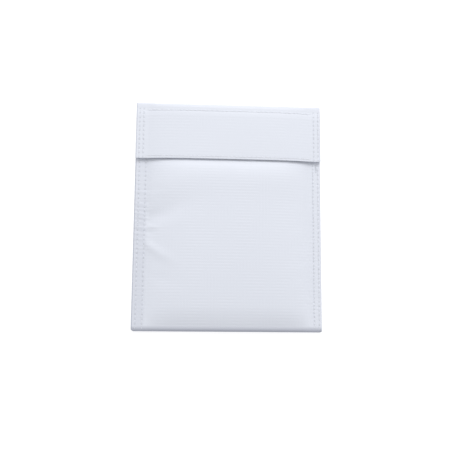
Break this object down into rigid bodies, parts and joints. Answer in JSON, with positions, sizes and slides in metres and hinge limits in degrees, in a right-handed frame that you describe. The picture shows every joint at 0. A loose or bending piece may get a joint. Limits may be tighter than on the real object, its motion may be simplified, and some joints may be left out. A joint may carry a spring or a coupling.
{
  "type": "lipo safe bag",
  "caption": "Flat fire-resistant pouch of coated glass cloth for batteries, with sewn sides and a fold-over hook-and-loop flap.",
  "frame": {"origin": "centre of the bag's outline, on the surface that its back lies on", "axes": "+X to the right across the width, +Y up the bag towards the flap's fold, +Z out of the front"},
  "size_m": [0.18, 0.22, 0.011],
  "materials": {
    "cloth": "smooth white coating over a fine plain-weave glass cloth, faint satin sheen",
    "turned_cloth": "the same coated glass cloth, folded under at a hem or seam",
    "thread": "white polyester sewing thread",
    "hook_tape": "white nylon hooks on a woven tape",
    "loop_tape": "soft white nylon loops on a woven tape"
  },
  "bodies": {
    "pouch": {"back_panel": "cloth", "bottom_fold": "cloth", "front_panel": "cloth", "left_seam_allowance": "turned_cloth", "right_seam_allowance": "turned_cloth", "left_mouth_corner": "cloth", "right_mouth_corner": "cloth", "back_fold": "cloth", "left_outer_stitches": "thread", "left_inner_stitches": "thread", "right_outer_stitches": "thread", "right_inner_stitches": "thread", "left_backtack": "thread", "right_backtack": "thread"},
    "mouth_lip": {"lip_panel": "cloth", "mouth_hem": "turned_cloth", "mouth_hem_stitches": "thread", "loop_tape": "loop_tape", "loop_upper_stitches": "thread", "loop_lower_stitches": "thread"},
    "flap": {"flap_fold": "cloth", "flap_panel": "cloth", "flap_lining": "turned_cloth", "flap_left_hem": "turned_cloth", "flap_right_hem": "turned_cloth", "hook_tape": "hook_tape", "hook_upper_stitches": "thread", "hook_lower_stitches": "thread", "flap_left_outer_stitches": "thread", "flap_left_inner_stitches": "thread", "flap_right_outer_stitches": "thread", "flap_right_inner_stitches": "thread", "flap_upper_stitches": "thread", "flap_lower_stitches": "thread"}
  },
  "joints": [
    {"name": "flap_hinge", "type": "hinge", "parent": "pouch", "child": "flap", "pos_m": [0, 0.1102, 0.0055], "axis": [-1, 0, 0], "range_deg": [0, 178]},
    {"name": "mouth_crease", "type": "hinge", "parent": "pouch", "child": "mouth_lip", "pos_m": [0, 0.0575, 0.0066], "axis": [1, 0, 0], "range_deg": [0, 25]}
  ],
  "couplings": [
    {"joint": "mouth_crease", "follows": "flap_hinge", "ratio": 0.1388}
  ]
}
